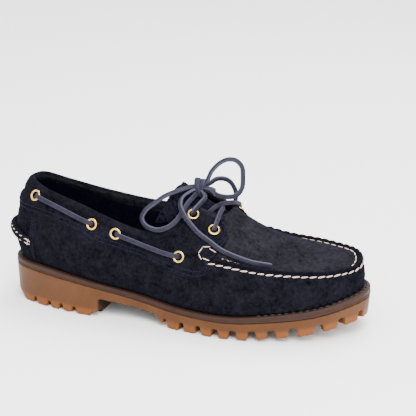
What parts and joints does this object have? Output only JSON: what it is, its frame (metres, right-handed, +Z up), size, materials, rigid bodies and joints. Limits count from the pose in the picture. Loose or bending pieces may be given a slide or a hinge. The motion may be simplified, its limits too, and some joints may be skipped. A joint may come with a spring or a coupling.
{
  "type": "boat shoe",
  "caption": "Suede boat shoe with a hand-sewn moccasin seam, leather lace through brass eyelets tied in a bow, and a lugged rubber sole.",
  "frame": {"origin": "middle of the shoe's footprint, on the floor it stands on", "axes": "+X from heel to toe, +Y to the inner (medial) side of this right shoe, +Z up"},
  "size_m": [0.3048, 0.1044, 0.1304],
  "materials": {
    "suede": "napped suede",
    "lining": "matte",
    "gum": "satin",
    "midsole": "matte",
    "brass": "polished",
    "lace": "waxed"
  },
  "bodies": {
    "root": {"outsole": "gum", "midsole": "midsole", "insole": "lining", "upper": "suede", "tongue": "suede", "heel_roll": "suede", "eyelet_collar_1_lateral": "brass", "eyelet_collar_2_lateral": "brass", "eyelet_collar_3_lateral": "brass", "eyelet_collar_4_lateral": "brass", "eyelet_throat_1_lateral": "brass", "eyelet_throat_2_lateral": "brass", "eyelet_collar_1_medial": "brass", "eyelet_collar_2_medial": "brass", "eyelet_collar_3_medial": "brass", "eyelet_collar_4_medial": "brass", "eyelet_throat_1_medial": "brass", "eyelet_throat_2_medial": "brass", "lace_rear_lateral": "lace", "lace_front_lateral": "lace", "lace_rear_medial": "lace", "lace_front_medial": "lace", "lace_crossing": "lace", "lace_rise_lateral": "lace", "lace_loop_lateral": "lace", "lace_end_lateral": "lace", "lace_rise_medial": "lace", "lace_loop_medial": "lace", "lace_end_medial": "lace", "lace_knot": "lace"}
  },
  "joints": []
}
